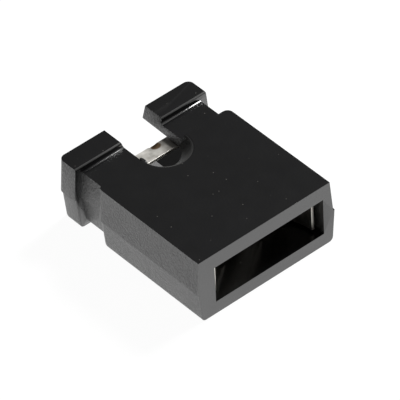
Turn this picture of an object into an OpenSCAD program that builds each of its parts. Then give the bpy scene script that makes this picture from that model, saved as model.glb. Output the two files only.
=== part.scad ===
// Jumper shunt: a moulded cover over one stamped contact that bridges two
// square header pins on the standard 2.54 mm pitch. All lengths are in
// millimetres. It lies on a broad face: X runs along the pin row, the pins
// enter at the low-Y face, the finger ears are at the high-Y end, and Z is up.
// The origin is under the middle of the whole part, on the surface it lies on.

/* [Cover body] */
// Width of the body across its broad faces, along the pin row
body_w = 4.8; // [4.6:0.05:5]
// Length of the body, from the mating face to the neck
body_len = 4.26; // [3.8:0.02:4.8]
// Thickness of the body between its two broad faces
body_t = 2.2; // [2.1:0.02:2.4]
// How far each side face swells out from a broad face to the parting line
side_draft = 0.1; // [0.04:0.01:0.12]
// Sideways step between the two halves of the mould
mould_step = 0.05; // [0.02:0.01:0.08]
// Radius of the upright corners at the back of the body and of the ears
rear_corner_r = 0.2; // [0.1:0.02:0.3]
// Radius along the lower edges, where the lower mould cavity is worn
low_edge_r = 0.12; // [0.06:0.01:0.2]

/* [Neck and ears] */
// Length of the neck, from the body to the ears
neck_len = 0.95; // [0.7:0.05:1.3]
// How far the neck is cut in from each side face
neck_side_inset = 0.24; // [0.14:0.02:0.3]
// How far the neck is cut in from each broad face
neck_face_inset = 0.185; // [0.1:0.005:0.22]
// Length of the finger ears beyond the neck
ear_len = 0.74; // [0.5:0.02:1]

/* [Finger slot] */
// Width of the slot at the outside of a broad wall
slot_w = 1.5; // [1.3:0.05:1.7]
// How far the slot's round end reaches into the body
slot_reach = 0.81; // [0.76:0.01:1]
// How far each side of the slot closes in through the upper wall
slot_top_taper = 0.13; // [0.02:0.01:0.2]
// How far each side of the slot closes in through the lower wall
slot_low_taper = 0.04; // [0.02:0.01:0.2]
// How far the slot's round end slopes back on its way through a wall
slot_slope = 0.4; // [0.1:0.02:0.6]

/* [Contact cavity] */
// Width of the cavity
cavity_w = 3.98; // [3.9:0.02:4.06]
// Height of the cavity at the mating face
cavity_h = 1.27; // [1.2:0.01:1.35]
// Thickness of the lower wall at the mating face
floor_t = 0.43; // [0.38:0.01:0.5]
// How far the core sat to one side in the mould
core_shift = 0.12; // [0:0.01:0.12]
// How far the ceiling rises from the mating face to the back
ceiling_draft = 0.12; // [0.04:0.01:0.14]
// How far the floor drops from the mating face to the back
floor_draft = 0.06; // [0.02:0.01:0.08]

/* [Header pins it fits] */
// Distance between the two pins
pin_pitch = 2.54; // [2.5:0.01:2.58]
// Side of the square pins
pin_side = 0.64; // [0.6:0.01:0.66]

/* [Contact] */
// Thickness of the contact's sheet
sheet_t = 0.1; // [0.08:0.01:0.14]
// Height of the contact, from the ceiling to its blades' lower edges
contact_h = 1.22; // [1.1:0.02:1.26]
// Distance from the mating face to the back of the contact
contact_back = 4.94; // [4.8:0.02:5.1]
// Depth, front to back, of the strap that joins its two sides
strap_w = 0.5; // [0.3:0.02:0.6]
// Distance from the mating face to the front of the side plates
plate_front = 2.7; // [2.5:0.05:3.2]
// Length of the folds that join the inner blades to the side plates
inner_fold_len = 1.4; // [0.8:0.05:1.6]
// Outer radius of the folds between the side plates and the blades
fold_r = 0.2; // [0.16:0.01:0.26]
// How much each blade overlaps a pin before the pin spreads it
grip = 0.04; // [0.02:0.005:0.08]
// Depth at which the outer blades grip a pin
outer_grip_y = 1.4; // [1.2:0.05:1.8]
// Depth at which the inner blades grip a pin
inner_grip_y = 1.9; // [1.7:0.05:2.2]
// Depth of the outer blades' front ends
outer_tip_y = 0.25; // [0.2:0.01:0.4]
// Gap between the outer blades' front ends and the side walls
outer_tip_gap = 0.13; // [0.04:0.01:0.16]
// Depth of the inner blades' front ends
inner_tip_y = 1.1; // [0.9:0.05:1.3]
// Width of the cut carrier tab left at the middle of the strap
tab_w = 0.34; // [0.2:0.02:0.5]
// Depth of the dip coined where the carrier tab was cut
tab_dip = 0.03; // [0.01:0.005:0.05]

/* [Hidden] */

part_len = body_len + neck_len + ear_len;
part_line = body_t / 2;
neck_end = body_len + neck_len;

// Steps in a rounded corner, and the least thickness of a hull's slab
arc_steps = 8;
slab_t = 0.002;
over = 0.5;

// Clearance between the contact's side plates and the ceiling
plate_gap = 0.005;

// Points of an arc about [cx, cy], from angle a0 to a1
function arc(cx, cy, r, a0, a1) =
    [for (i = [0:arc_steps]) let (a = a0 + (a1 - a0) * i / arc_steps)
        [cx + r * cos(a), cy + r * sin(a)]];

// Plan of a block from y0 to y1, half_w to each side, with round rear corners
function plan(half_w, y0, y1, r) = concat(
    [[-half_w, y0], [half_w, y0]],
    arc(half_w - r, y1 - r, r, 0, 90),
    arc(-half_w + r, y1 - r, r, 90, 180));

// Half width of the body at height z: widest at the parting line
function side_at(z) = body_w / 2 + side_draft * (1 - abs(z - part_line) / part_line);

module plan_slab(z, half_w, y0, y1, r) {
    translate([0, 0, z]) linear_extrude(slab_t) polygon(plan(half_w, y0, y1, r));
}

// The upper half of a moulded block, cut in by the given insets
module upper_half(y0, y1, r, side_inset, face_inset) {
    top = body_t - face_inset;
    translate([-mould_step / 2, 0, 0]) hull() {
        plan_slab(part_line, side_at(part_line) - side_inset, y0, y1, r);
        plan_slab(top - slab_t, side_at(top) - side_inset, y0, y1, r);
    }
}

// The lower half of a moulded block, with its lower edges rounded by edge_r
module lower_half(y0, y1, r, side_inset, face_inset, edge_r) {
    translate([mould_step / 2, 0, 0]) hull() {
        plan_slab(part_line - slab_t, side_at(part_line) - side_inset, y0, y1, r);
        for (a = [0:30:90]) {
            z = face_inset + edge_r * (1 - sin(90 - a));
            in = side_inset + edge_r * (1 - cos(90 - a));
            plan_slab(z, side_at(z) - in, y0, y1, r);
        }
    }
}

// Heights of the cavity's ceiling and floor at depth y
function ceiling_at(y) = floor_t + cavity_h + ceiling_draft * y / part_len;
function floor_at(y) = floor_t - floor_draft * y / part_len;

// The tapered core that leaves the cavity, open at both ends
module core() {
    back = part_len + over;
    translate([core_shift - cavity_w / 2, 0, 0]) rotate([90, 0, 90]) linear_extrude(cavity_w)
        polygon([
            [-over, floor_at(-over)], [back, floor_at(back)],
            [back, ceiling_at(back)], [-over, ceiling_at(-over)]]);
}

// Outline of the slot at the outside of a broad wall, with its round end at end_y
module slot_outline(end_y) {
    translate([0, end_y + slot_w / 2]) circle(d = slot_w, $fn = 64);
    translate([-slot_w / 2, end_y + slot_w / 2]) square([slot_w, part_len]);
}

// The slot through a wall whose outside is at z = 0: each side closes in by
// taper at the wall's inside, and its round end slopes back
module slot_cut(wall, taper) {
    end_y = body_len - slot_reach;
    deep = wall + body_t / 10;
    closing = 2 * taper / slot_w;
    narrow = 1 - closing * deep / wall;
    pivot_y = end_y + slot_slope / closing;
    linear_extrude(over) slot_outline(end_y);
    translate([0, pivot_y, 0]) mirror([0, 0, 1]) linear_extrude(deep, scale = narrow)
        translate([0, -pivot_y]) slot_outline(end_y);
}

module housing() {
    sharp = 0.02;
    color("#26272a") difference() {
        union() {
            upper_half(0, body_len, rear_corner_r, 0, 0);
            lower_half(0, body_len, rear_corner_r, 0, 0, low_edge_r);
            upper_half(body_len - 1, neck_end + ear_len / 2, sharp, neck_side_inset, neck_face_inset);
            lower_half(body_len - 1, neck_end + ear_len / 2, sharp, neck_side_inset, neck_face_inset, sharp);
            upper_half(neck_end, part_len, rear_corner_r, 0, 0);
            lower_half(neck_end, part_len, rear_corner_r, 0, 0, low_edge_r);
        }
        core();
        translate([0, 0, body_t]) slot_cut(body_t - ceiling_at(body_len), slot_top_taper);
        mirror([0, 0, 1]) slot_cut(floor_at(body_len), slot_low_taper);
    }
}

// Unit normal to a path at point i
function path_normal(p, i) =
    let (a = p[max(0, i - 1)], b = p[min(len(p) - 1, i + 1)], d = b - a)
    [-d[1], d[0]] / norm(d);

// Outline of a sheet of thickness t whose middle follows the path p
function sheet(p, t) = concat(
    [for (i = [0:len(p) - 1]) p[i] + path_normal(p, i) * t / 2],
    [for (i = [len(p) - 1:-1:0]) p[i] - path_normal(p, i) * t / 2]);

// A smooth run between two points whose ends lie along Y
run_steps = 10;
function ease(a, b) =
    [for (i = [1:run_steps]) let (s = i / run_steps)
        [a[0] + (b[0] - a[0]) * (1 - cos(180 * s)) / 2, a[1] + (b[1] - a[1]) * s]];

// Heights of the contact's parts: it lies against the ceiling
plate_top = ceiling_at(plate_front) - plate_gap;
blade_low = plate_top - contact_h;
blade_top = plate_top - fold_r;

// Middle lines of the sheet, measured from the contact's own centre
wall_x = cavity_w / 2 - sheet_t / 2;
pin_out = (pin_pitch + pin_side) / 2;
pin_in = (pin_pitch - pin_side) / 2;
outer_grip_x = pin_out - grip + sheet_t / 2;
inner_grip_x = pin_in + grip - sheet_t / 2;
outer_tip_x = wall_x - outer_tip_gap;
inner_root_x = inner_grip_x - 0.06;
inner_tip_x = inner_grip_x - 0.28;
inner_root_y = plate_front + inner_fold_len;

// Outer blade in plan, from the back of the contact to the blade's tip
outer_path = concat(
    [[wall_x, contact_back], [wall_x, plate_front]],
    ease([wall_x, plate_front], [outer_grip_x, outer_grip_y]),
    ease([outer_grip_x, outer_grip_y], [outer_tip_x, outer_tip_y]));

// Inner blade in plan, from the back of its fold to the blade's tip
inner_path = concat(
    [[inner_root_x, inner_root_y], [inner_root_x, plate_front]],
    ease([inner_root_x, plate_front], [inner_grip_x, inner_grip_y]),
    ease([inner_grip_x, inner_grip_y], [inner_tip_x, inner_tip_y]));

// A fold along Y, from the flat plate at reach to a blade whose outside is at x = 0
module fold(y0, y1, reach) {
    translate([0, y1, 0]) rotate([90, 0, 0]) linear_extrude(y1 - y0) polygon(concat(
        [[reach, 0]], [[reach, -sheet_t]],
        arc(fold_r, -fold_r, fold_r - sheet_t, 90, 180),
        arc(fold_r, -fold_r, fold_r, 180, 90)));
}

module blade(path, low, top) {
    translate([0, 0, low]) linear_extrude(top - low) polygon(sheet(path, sheet_t));
}

// One side of the contact: half the strap, its plate, its folds and its blades
module contact_side() {
    out_x = wall_x + sheet_t / 2;
    in_x = inner_root_x - sheet_t / 2;
    mid_x = (out_x + in_x) / 2;
    blade(outer_path, blade_low, blade_top);
    blade(inner_path, blade_low, blade_top);
    translate([0, 0, plate_top]) {
        translate([out_x, 0, 0]) mirror([1, 0, 0]) fold(plate_front, contact_back, out_x - mid_x);
        translate([in_x, 0, 0]) fold(plate_front, inner_root_y, mid_x - in_x);
        translate([mid_x - over / 2, plate_front, -sheet_t])
            cube([over, contact_back - plate_front, sheet_t]);
        translate([-over / 4, contact_back - strap_w, -sheet_t])
            cube([mid_x + over / 4, strap_w, sheet_t]);
    }
}

// The dip coined into the strap's back edge where its carrier was cut off
module tab_cut() {
    dip_r = (tab_w * tab_w / 4 + tab_dip * tab_dip) / (2 * tab_dip);
    translate([0, contact_back, plate_top + dip_r - tab_dip]) sphere(dip_r, $fn = 180);
}

module contact() {
    color("#c9c6bd") translate([core_shift, 0, 0]) difference() {
        union() {
            contact_side();
            mirror([1, 0, 0]) contact_side();
        }
        tab_cut();
    }
}

// Puts the middle of the part's length over the origin
module placed() {
    translate([0, -part_len / 2, 0]) children();
}

placed() housing();
placed() contact();
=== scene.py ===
# %% [markdown]
# # A jumper shunt under the close-up lens
# A jumper shunt is a small black cover, about 5 by 6 by 2 mm, over one stamped metal
# contact. The solids come from the CAD frame. This lesson rounds their edges as a mould
# and a press leave them, gives them their finishes, and sets up the light and the camera.

# %% Load the CAD frame
import bpy
import bmesh
import math
import numpy as np
from mathutils import Matrix, Vector


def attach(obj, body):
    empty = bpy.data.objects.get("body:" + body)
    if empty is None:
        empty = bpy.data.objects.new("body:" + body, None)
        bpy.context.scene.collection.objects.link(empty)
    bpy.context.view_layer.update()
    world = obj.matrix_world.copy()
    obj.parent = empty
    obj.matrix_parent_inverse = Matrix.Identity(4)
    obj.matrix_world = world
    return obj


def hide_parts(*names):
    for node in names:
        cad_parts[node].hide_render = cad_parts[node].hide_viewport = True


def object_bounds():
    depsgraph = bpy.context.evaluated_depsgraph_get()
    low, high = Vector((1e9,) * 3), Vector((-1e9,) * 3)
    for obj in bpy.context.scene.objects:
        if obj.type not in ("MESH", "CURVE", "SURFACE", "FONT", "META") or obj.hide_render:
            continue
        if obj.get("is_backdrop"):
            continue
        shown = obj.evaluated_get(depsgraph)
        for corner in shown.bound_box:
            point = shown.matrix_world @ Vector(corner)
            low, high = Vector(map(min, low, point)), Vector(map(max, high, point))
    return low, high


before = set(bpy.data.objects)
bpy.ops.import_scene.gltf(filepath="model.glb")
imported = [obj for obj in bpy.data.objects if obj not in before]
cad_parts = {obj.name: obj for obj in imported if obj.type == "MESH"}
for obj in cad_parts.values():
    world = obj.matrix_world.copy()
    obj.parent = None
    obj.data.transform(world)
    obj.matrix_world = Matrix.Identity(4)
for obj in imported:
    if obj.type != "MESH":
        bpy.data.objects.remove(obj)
MM = 0.001
cad_box = [list(corner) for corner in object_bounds()]
part_low, part_high = (np.array(corner) for corner in cad_box)
print("the solids measure", np.round((part_high - part_low) / MM, 3), "mm")

# %% [markdown]
# ## Small helpers
# Colours are written as the hex values that a screen shows, and Blender's shaders want
# linear light, so one function converts them. A second one adds a node, sets its values
# and makes its links, which keeps each material short enough to read at one go.

# %% Colour and node helpers
def colour(hex_code):
    """Turns an sRGB hex code into linear RGBA: c/12.92 in the darks, else a 2.4 power."""
    channels = [int(hex_code[i:i + 2], 16) / 255 for i in (1, 3, 5)]
    linear = [c / 12.92 if c <= 0.04045 else ((c + 0.055) / 1.055) ** 2.4 for c in channels]
    return linear + [1]


def add_node(tree, kind, settings=None, **inputs):
    """Adds one node. settings are its attributes; inputs are values, or sockets to link."""
    node = tree.nodes.new(kind)
    for name, value in (settings or {}).items():
        setattr(node, name, value)
    for name, value in inputs.items():
        socket = node.inputs[int(name[1:])] if name[0] == "_" and name[1:].isdigit() \
            else node.inputs[name.replace("_", " ")]
        if isinstance(value, bpy.types.NodeSocket):
            tree.links.new(value, socket)
        else:
            socket.default_value = value
    return node


def new_material(name):
    """Starts a material with an empty node tree, and returns the material and its tree."""
    made = bpy.data.materials.new(name)
    made.use_nodes = True
    made.node_tree.nodes.clear()
    return made, made.node_tree

# %% [markdown]
# ## Real edges
# A moulded or stamped edge is never sharp: it has a radius of a few hundredths of a
# millimetre, and that narrow band is what catches the light. The CAD nodes arrive as loose
# triangles, so each is copied, its corners are merged, and flat triangles are joined into
# whole faces. A few wide roundings are cut into the mesh first. Every other crease then gets
# a weight, which a Bevel modifier turns into its own radius. A Weighted Normal modifier lets
# the large faces set the shading, so that they stay flat next to a rounded edge.

# %% Copy a CAD node as one clean skin
def clean_copy(node_name, piece_name):
    """Copies a CAD node's mesh, merges its corners and joins its flat triangles."""
    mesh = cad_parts[node_name].data.copy()
    mesh.name = piece_name
    skin = bmesh.new()
    skin.from_mesh(mesh)
    bmesh.ops.remove_doubles(skin, verts=skin.verts, dist=0.0005 * MM)
    bmesh.ops.dissolve_limit(
        skin, angle_limit=math.radians(0.6), verts=skin.verts, edges=skin.edges)
    skin.to_mesh(mesh)
    skin.free()
    mesh.materials.clear()
    piece = bpy.data.objects.new(piece_name, mesh)
    bpy.context.scene.collection.objects.link(piece)
    print(piece_name, "has", len(mesh.vertices), "corners and", len(mesh.polygons), "faces")
    return piece

# %% Measure every edge and give the creases their radii
def edge_facts(mesh):
    """Arrays for all edges: middle point in mm, direction, and crease angle in degrees."""
    count = len(mesh.edges)
    ends = np.empty(count * 2, dtype=np.int64)
    mesh.edges.foreach_get("vertices", ends)
    places = np.empty(len(mesh.vertices) * 3)
    mesh.vertices.foreach_get("co", places)
    places = places.reshape(-1, 3)
    first, second = places[ends[::2]], places[ends[1::2]]
    skin = bmesh.new()
    skin.from_mesh(mesh)
    angles = np.array([e.calc_face_angle_signed(0.0) for e in skin.edges])
    skin.free()
    run = second - first
    run /= np.maximum(np.linalg.norm(run, axis=1, keepdims=True), 1e-12)
    return (first + second) / 2 / MM, run, np.degrees(np.abs(angles))


def round_first(piece, chosen, radius, segments):
    """Rounds the chosen edges by radius in the mesh itself, ahead of the finer ones."""
    skin = bmesh.new()
    skin.from_mesh(piece.data)
    skin.edges.ensure_lookup_table()
    edges = [skin.edges[i] for i in np.flatnonzero(chosen)]
    before = len(skin.verts)
    bmesh.ops.bevel(skin, geom=edges, offset=radius * MM, segments=segments, profile=0.5,
                    affect="EDGES", clamp_overlap=True)
    skin.to_mesh(piece.data)
    print("rounded", len(edges), "edges by", radius, "mm, corners", before, len(skin.verts))
    skin.free()


def round_edges(piece, radii, largest, segments):
    """Stores radii / largest as bevel weights and adds the Bevel modifier that reads them."""
    weights = piece.data.attributes.new("bevel_weight_edge", "FLOAT", "EDGE")
    weights.data.foreach_set("value", np.clip(radii / largest, 0, 1).astype(np.float32))
    bevel = piece.modifiers.new("moulded edges", "BEVEL")
    bevel.width = largest * MM
    bevel.segments = segments
    bevel.limit_method = "WEIGHT"
    bevel.miter_outer = "MITER_ARC"
    shading = piece.modifiers.new("flat faces stay flat", "WEIGHTED_NORMAL")
    shading.mode = "FACE_AREA"
    shading.weight = 100
    shading.keep_sharp = False
    print(piece.name, "has", int((radii > 0).sum()), "rounded edges up to", largest, "mm")

# %% [markdown]
# ## The bead of flash
# A used mould lets a little plastic into its joints. On this cover that left one small bead
# of flash on the left rim of the finger slot. It is part of the moulding, so its surface is
# added to the cover's own mesh: an ellipsoid, sunk into the rim by half.

# %% Compute the bead's surface and join it to a mesh
def add_bead(piece, centre_mm, radii_mm, around=24, rise=12):
    """Joins an ellipsoid p = c + r (cos v cos u, cos v sin u, sin v) to the piece's mesh."""
    u, v = np.meshgrid(np.linspace(0, 2 * np.pi, around, endpoint=False),
                       np.linspace(-np.pi / 2, np.pi / 2, rise))
    ball = np.stack([np.cos(v) * np.cos(u), np.cos(v) * np.sin(u), np.sin(v)], axis=-1)
    points = (np.array(centre_mm) + np.array(radii_mm) * ball).reshape(-1, 3) * MM
    row, step = np.meshgrid(np.arange(rise - 1) * around, np.arange(around), indexing="ij")
    after = (step + 1) % around
    quads = np.stack([row + step, row + after, row + around + after, row + around + step],
                     axis=-1).reshape(-1, 4)
    bead = bpy.data.meshes.new("bead")
    bead.from_pydata(points.tolist(), [], quads.tolist())
    skin = bmesh.new()
    skin.from_mesh(bead)
    bmesh.ops.remove_doubles(skin, verts=skin.verts, dist=0.0001 * MM)
    skin.from_mesh(piece.data)
    skin.to_mesh(piece.data)
    skin.free()
    print("bead of flash at", centre_mm, "mm")


# %% [markdown]
# ## The cover
# The cover is one moulding. Its edges are softest across the front of the ears, both at the
# top and at the foot, and round the curved end of the finger slot. Those two sets are picked
# out by where each edge's middle lies and are rounded first. All other creases get a finer
# radius, and the edges of the mating face the finest, because that face is cut square.

# %% Round the cover's edges
NECK_FROM_MATE, EAR_FROM_MATE, SLOT_FROM_MATE = 4.26, 5.21, 3   # mm, along Y
SLOT_HALF_WIDTH = 0.78                                          # mm, with a little to spare
CREASE, STEEP_CREASE = 26, 32                                   # degrees
EAR_RADIUS, SLOT_RADIUS, FINE_RADIUS = 0.06, 0.08, 0.03         # mm
MATE_SHARE = 0.6                                                # of the fine radius
BEAD_CENTRE, BEAD_RADII = (-0.755, 1.28, 2.165), (0.06, 0.15, 0.04)

cover = clean_copy("housing", "cover_moulding")
mate = part_low[1] / MM
top = part_high[2] / MM

middle, run, angle = edge_facts(cover.data)
x, y, z = middle.T
across = (angle > CREASE) & (np.abs(run[:, 0]) > 0.9)
ear_front = across & (np.abs(y - (mate + EAR_FROM_MATE)) < 0.03) & (z > top / 2)
round_first(cover, ear_front, EAR_RADIUS, 3)

middle, run, angle = edge_facts(cover.data)
x, y, z = middle.T
on_top = (angle > CREASE) & (z > top - 0.005) & (np.abs(run[:, 2]) < 0.01)
slot_end = (np.abs(x) < SLOT_HALF_WIDTH) & (y > mate + SLOT_FROM_MATE) \
    & (y < mate + NECK_FROM_MATE + 0.02)
round_first(cover, on_top & slot_end, SLOT_RADIUS, 3)

middle, run, angle = edge_facts(cover.data)
radii = np.where(angle > STEEP_CREASE, FINE_RADIUS, 0.0)
radii[np.abs(middle[:, 1] - mate) < 0.01] *= MATE_SHARE
add_bead(cover, BEAD_CENTRE, BEAD_RADII)
bead_edges = len(cover.data.edges) - len(radii)
radii = np.concatenate([np.zeros(bead_edges), radii])
round_edges(cover, radii, FINE_RADIUS, 2)
cover.data.shade_smooth()
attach(cover, "root")
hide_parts("housing")

# %% [markdown]
# ## The contact
# The contact is cut from tin-plated bronze strip and folded. A press rounds one side of a
# cut and leaves a tiny burr on the other, so its edges get a radius of about a hundredth
# of a millimetre.

# %% Round the contact's edges
contact = clean_copy("contact", "contact_stamping")
PRESS_CREASE, PRESS_RADIUS, PRESS_LARGEST = 35, 0.012, 0.015    # degrees, mm, mm
middle, run, angle = edge_facts(contact.data)
round_edges(contact, np.where(angle > PRESS_CREASE, PRESS_RADIUS, 0.0), PRESS_LARGEST, 2)
contact.data.shade_smooth()
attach(contact, "root")
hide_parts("contact")

# %% [markdown]
# ## Black PBT, polished and spark-eroded
# The cover is black glass-free PBT. Black plastic has almost no colour of its own: what the
# eye sees is its gloss, a few percent of whatever lies in the mirror direction. The mating
# face and broad faces are smooth. The side faces come off spark-eroded steel, which leaves a
# fine matt grain of about 0.06 mm, so they look speckled grey. The grain is a bump whose
# strength follows how far a face turns towards X. Leaning faces, which are the rounded edges
# and the slot's slope, are worn duller, and their colour is painted lighter grey: a painted
# sheen in place of the gloss they lose. A few pale crumbs of dust lie on the skin.

# %% Mix the black plastic
black_pbt, tree = new_material("black PBT moulding")
out = add_node(tree, "ShaderNodeOutputMaterial")
place = add_node(tree, "ShaderNodeTexCoord").outputs["Object"]
facing = add_node(tree, "ShaderNodeNewGeometry").outputs["True Normal"]
turned = add_node(tree, "ShaderNodeSeparateXYZ", _0=facing)
side = add_node(tree, "ShaderNodeMath", {"operation": "ABSOLUTE"}, _0=turned.outputs["X"])
side_mask = add_node(tree, "ShaderNodeMapRange", Value=side.outputs[0],
                     From_Min=0.55, From_Max=0.85, To_Min=0.0, To_Max=1.0)
grit = add_node(tree, "ShaderNodeTexNoise", Vector=place, Scale=1 / (0.065 * MM),
                Detail=3.0, Roughness=0.6)
waves = add_node(tree, "ShaderNodeTexNoise", Vector=place, Scale=1 / (0.6 * MM),
                 Detail=2.0, Roughness=0.5)
grain_depth = add_node(tree, "ShaderNodeMath", {"operation": "MULTIPLY_ADD"},
                       _0=side_mask.outputs[0], _1=0.8, _2=0.1)
grain = add_node(tree, "ShaderNodeMath", {"operation": "MULTIPLY"},
                 _0=grit.outputs[0], _1=grain_depth.outputs[0])
bump = add_node(tree, "ShaderNodeBump", Height=grain.outputs[0], Strength=1.0,
                Distance=0.032 * MM)
polish = add_node(tree, "ShaderNodeMapRange", Value=side_mask.outputs[0],
                  From_Min=0.0, From_Max=1.0, To_Min=0.17, To_Max=0.39)
uneven = add_node(tree, "ShaderNodeMath", {"operation": "MULTIPLY_ADD"},
                  _0=waves.outputs[0], _1=0.06, _2=polish.outputs[0])
gloss = add_node(tree, "ShaderNodeMapRange", Value=side_mask.outputs[0],
                 From_Min=0.0, From_Max=1.0, To_Min=1.0, To_Max=0.95)
upright = add_node(tree, "ShaderNodeMath", {"operation": "ABSOLUTE"}, _0=turned.outputs["Z"])
sloped = add_node(tree, "ShaderNodeMath", {"operation": "LESS_THAN"},
                  _0=upright.outputs[0], _1=0.97)
leaning = add_node(tree, "ShaderNodeMath", {"operation": "GREATER_THAN"},
                   _0=upright.outputs[0], _1=0.35)
# Leaning faces: made rougher and less glossy (wear), and lighter in colour further down
# (painted sheen).
wear_and_painted_sheen = add_node(tree, "ShaderNodeMath", {"operation": "MULTIPLY"},
                _0=sloped.outputs[0], _1=leaning.outputs[0])
matt = add_node(tree, "ShaderNodeMath", {"operation": "MULTIPLY_ADD"}, _0=wear_and_painted_sheen.outputs[0],
                _1=0.5, _2=uneven.outputs[0])
thin_gloss = add_node(tree, "ShaderNodeMath", {"operation": "MULTIPLY_ADD"},
                      _0=wear_and_painted_sheen.outputs[0], _1=-0.95, _2=gloss.outputs[0])
dull = add_node(tree, "ShaderNodeMath", {"operation": "MULTIPLY_ADD"}, _0=wear_and_painted_sheen.outputs[0],
                _1=-0.1, _2=0.5)
crumbs = add_node(tree, "ShaderNodeTexVoronoi", Vector=place, Scale=1 / (0.22 * MM))
crumb_pick = add_node(tree, "ShaderNodeMapRange", Value=crumbs.outputs["Color"],
                      From_Min=0.66, From_Max=0.7, To_Min=0.0, To_Max=1.0)
crumb_spot = add_node(tree, "ShaderNodeMapRange", Value=crumbs.outputs["Distance"],
                      From_Min=0.05, From_Max=0.1, To_Min=1.0, To_Max=0.0)
crumb = add_node(tree, "ShaderNodeMath", {"operation": "MULTIPLY"},
                 _0=crumb_pick.outputs[0], _1=crumb_spot.outputs[0])
pitted = add_node(tree, "ShaderNodeMapRange", Value=grit.outputs[0], From_Min=0.42,
                  From_Max=0.6, To_Min=0.0, To_Max=1.0)
pits = add_node(tree, "ShaderNodeMath", {"operation": "MULTIPLY"},
                _0=pitted.outputs[0], _1=side_mask.outputs[0])
# Grain specks on the sides, plus a painted sheen: leaning faces get a lighter grey colour.
grain_and_painted_sheen = add_node(tree, "ShaderNodeMath", {"operation": "MULTIPLY_ADD"},
                   _0=wear_and_painted_sheen.outputs[0], _1=0.5, _2=pits.outputs[0])
black = add_node(tree, "ShaderNodeMix", {"data_type": "RGBA"}, _0=grain_and_painted_sheen.outputs[0])
black.inputs[6].default_value = colour("#0d0d0e")
black.inputs[7].default_value = colour("#464645")
skin = add_node(tree, "ShaderNodeMix", {"data_type": "RGBA"}, _0=crumb.outputs[0],
                _6=black.outputs[2])
skin.inputs[7].default_value = colour("#5c5a56")
plastic = add_node(tree, "ShaderNodeBsdfPrincipled", Base_Color=skin.outputs[2], IOR=1.57,
                   Roughness=matt.outputs[0], Normal=bump.outputs[0],
                   Coat_Weight=thin_gloss.outputs[0], Coat_Roughness=matt.outputs[0],
                   Coat_Normal=bump.outputs[0], Specular_IOR_Level=dull.outputs[0])
tree.links.new(plastic.outputs[0], out.inputs[0])
cover.data.materials.append(black_pbt)
print("mixed", black_pbt.name)

# %% [markdown]
# ## Bright tin over bronze
# Tin plate is a pale, slightly warm metal. Rolled strip keeps faint lines along its length,
# which spread its reflections, so it is satin rather than mirror bright. The strip was cut
# from its carrier after plating, so the brown bronze shows in one small oval at the strap's
# rear edge. To the right of that cut the plate's colour is painted darker: a painted shade
# that stands in for the shadow of the cover's right arm.

# %% Mix the tin plate
tin_plate, tree = new_material("tin plate on bronze strip")
out = add_node(tree, "ShaderNodeOutputMaterial")
place = add_node(tree, "ShaderNodeTexCoord").outputs["Object"]
stretch = add_node(tree, "ShaderNodeMapping", Vector=place, Scale=(0.15, 1.0, 1.0))
rolling = add_node(tree, "ShaderNodeTexNoise", Vector=stretch.outputs[0],
                   Scale=1 / (0.03 * MM), Detail=2.0)
cloud = add_node(tree, "ShaderNodeTexNoise", Vector=place, Scale=1 / (0.25 * MM), Detail=2.0)
tone = add_node(tree, "ShaderNodeMix", {"data_type": "RGBA"}, _0=cloud.outputs[0])
tone.inputs[6].default_value = colour("#dcd8ce")
tone.inputs[7].default_value = colour("#f3f1ec")
satin = add_node(tree, "ShaderNodeMapRange", Value=cloud.outputs[0], From_Min=0.3,
                 From_Max=0.7, To_Min=0.38, To_Max=0.5)
bump = add_node(tree, "ShaderNodeBump", Height=rolling.outputs[0], Strength=0.4,
                Distance=0.002 * MM)
along = add_node(tree, "ShaderNodeSeparateXYZ", _0=place)
# Painted shade: the plate's colour is mixed towards dark grey on the right, as in the right
# arm's shadow.
painted_shade_right = add_node(tree, "ShaderNodeMapRange", Value=along.outputs["X"],
                    From_Min=-0.15 * MM, From_Max=0.3 * MM, To_Min=0.0, To_Max=0.55)
plate = add_node(tree, "ShaderNodeMix", {"data_type": "RGBA"}, _0=painted_shade_right.outputs[0],
                 _6=tone.outputs[2])
plate.inputs[7].default_value = colour("#7c7973")
cut_place = add_node(tree, "ShaderNodeVectorMath", {"operation": "SUBTRACT"}, _0=place,
                     _1=(0.175 * MM, 1.87 * MM, 0))
cut_shape = add_node(tree, "ShaderNodeVectorMath", {"operation": "MULTIPLY"},
                     _0=cut_place.outputs[0], _1=(1 / (0.17 * MM), 1 / (0.13 * MM), 0))
cut_reach = add_node(tree, "ShaderNodeVectorMath", {"operation": "LENGTH"},
                     _0=cut_shape.outputs[0])
cut = add_node(tree, "ShaderNodeMapRange", Value=cut_reach.outputs["Value"],
               From_Min=0.8, From_Max=1.1, To_Min=1.0, To_Max=0.0)
bared = add_node(tree, "ShaderNodeMix", {"data_type": "RGBA"}, _0=cut.outputs[0],
                 _6=plate.outputs[2])
bared.inputs[7].default_value = colour("#6b5844")
metal = add_node(tree, "ShaderNodeBsdfPrincipled", Base_Color=bared.outputs[2],
                 Roughness=satin.outputs[0], Normal=bump.outputs[0])
metal.inputs["Metallic"].default_value = 1.0
tree.links.new(metal.outputs[0], out.inputs[0])
contact.data.materials.append(tin_plate)
print("mixed", tin_plate.name)

# %% [markdown]
# ## The table
# The shunt lies on a plain white table, so white that it shows no edge. The table is one
# large square. To the camera and in reflections it glows a plain white on top of a weak
# share of real lighting, which keeps the part's soft shadow.

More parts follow.
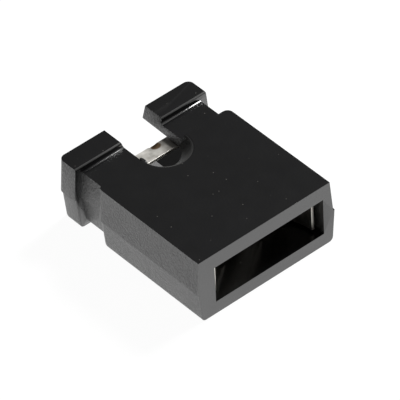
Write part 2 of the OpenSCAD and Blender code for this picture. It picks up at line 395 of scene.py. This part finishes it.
# %% Lay the table
table = bpy.data.meshes.new("table")
reach = 0.3
corners = [(-reach, -reach, 0), (reach, -reach, 0), (reach, reach, 0), (-reach, reach, 0)]
table.from_pydata(corners, [], [(0, 1, 2, 3)])
table_top = bpy.data.objects.new("table_top", table)
bpy.context.scene.collection.objects.link(table_top)
table_top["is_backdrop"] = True
white, tree = new_material("white table")
out = add_node(tree, "ShaderNodeOutputMaterial")
path = add_node(tree, "ShaderNodeLightPath")
seen = add_node(tree, "ShaderNodeMath", {"operation": "MAXIMUM"},
                _0=path.outputs["Is Camera Ray"], _1=path.outputs["Is Glossy Ray"])
seen = add_node(tree, "ShaderNodeMath", {"operation": "MAXIMUM"},
                _0=seen.outputs[0], _1=path.outputs["Is Transmission Ray"])
share = add_node(tree, "ShaderNodeMath", {"operation": "MULTIPLY"}, _0=seen.outputs[0], _1=0.9)
paper = add_node(tree, "ShaderNodeBsdfDiffuse", Color=colour("#f6f6f6"))
glow = add_node(tree, "ShaderNodeEmission", Color=(1, 1, 1, 1), Strength=1.07)
both = add_node(tree, "ShaderNodeMixShader", _0=share.outputs[0], _1=paper.outputs[0],
                _2=glow.outputs[0])
tree.links.new(both.outputs[0], out.inputs[0])
table.materials.append(white)
print("table of", 2 * reach, "m")

# %% [markdown]
# ## Light
# One broad soft lamp stands high at the right, and the room adds a dim even fill. The room is
# darker than the table, which is why the top face reads nearly black while the faces that
# mirror the table read grey.

# %% Light the part
def soft_lamp(name, place_mm, width_mm, watts):
    """A round area lamp at place_mm, turned to face the origin."""
    lamp = bpy.data.lights.new(name, "AREA")
    lamp.shape = "DISK"
    lamp.size = width_mm * MM
    lamp.energy = watts
    stand = bpy.data.objects.new(name, lamp)
    bpy.context.scene.collection.objects.link(stand)
    stand.location = Vector(place_mm) * MM
    stand.rotation_euler = (-stand.location).to_track_quat("-Z", "Y").to_euler()


room = bpy.data.worlds.new("dim room")
bpy.context.scene.world = room
room.use_nodes = True
room.node_tree.nodes["Background"].inputs["Color"].default_value = (1, 1, 1, 1)
room.node_tree.nodes["Background"].inputs["Strength"].default_value = 0.09
soft_lamp("lamp at the right", (150, 10, 132), 80, 0.55)
bpy.context.scene.view_settings.view_transform = "Standard"

# %% [markdown]
# ## Camera
# A close-up of so small a part is taken from far away with a long lens, which keeps parallel
# edges almost parallel. The camera sits on a line through the part, given by its turn round
# Z, its height angle and its distance, and leans a few degrees to one side.

# %% Place the camera
aim = Vector((0.056, -0.118, 1.1)) * MM
turn, height, lean = math.radians(-38.77), math.radians(42.40), math.radians(-3.18)
distance = 139.2 * MM
towards = Vector((math.sin(turn) * math.cos(height), -math.cos(turn) * math.cos(height),
                  math.sin(height)))
lens = bpy.data.cameras.new("close-up lens")
lens.lens = 450
lens.sensor_width = 36
lens.clip_start = 0.005
lens.clip_end = 5
camera = bpy.data.objects.new("camera", lens)
bpy.context.scene.collection.objects.link(camera)
straight = (-towards).to_track_quat("-Z", "Y").to_matrix()
camera.matrix_world = Matrix.Translation(aim + towards * distance) @ \
    (straight @ Matrix.Rotation(lean, 3, "Z")).to_4x4()
bpy.context.scene.camera = camera
print("camera at", np.round(np.array(aim + towards * distance) / MM, 2), "mm")

# %% [markdown]
# ## The sizes
# The dressed part must stay inside the solids' box, so the sizes of both boxes are printed.

# %% Write the sizes and finish
seen_box = [list(corner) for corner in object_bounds()]
seen_low, seen_high = (np.array(corner) for corner in seen_box)
print("the dressed part measures", np.round((seen_high - seen_low) / MM, 3), "mm")
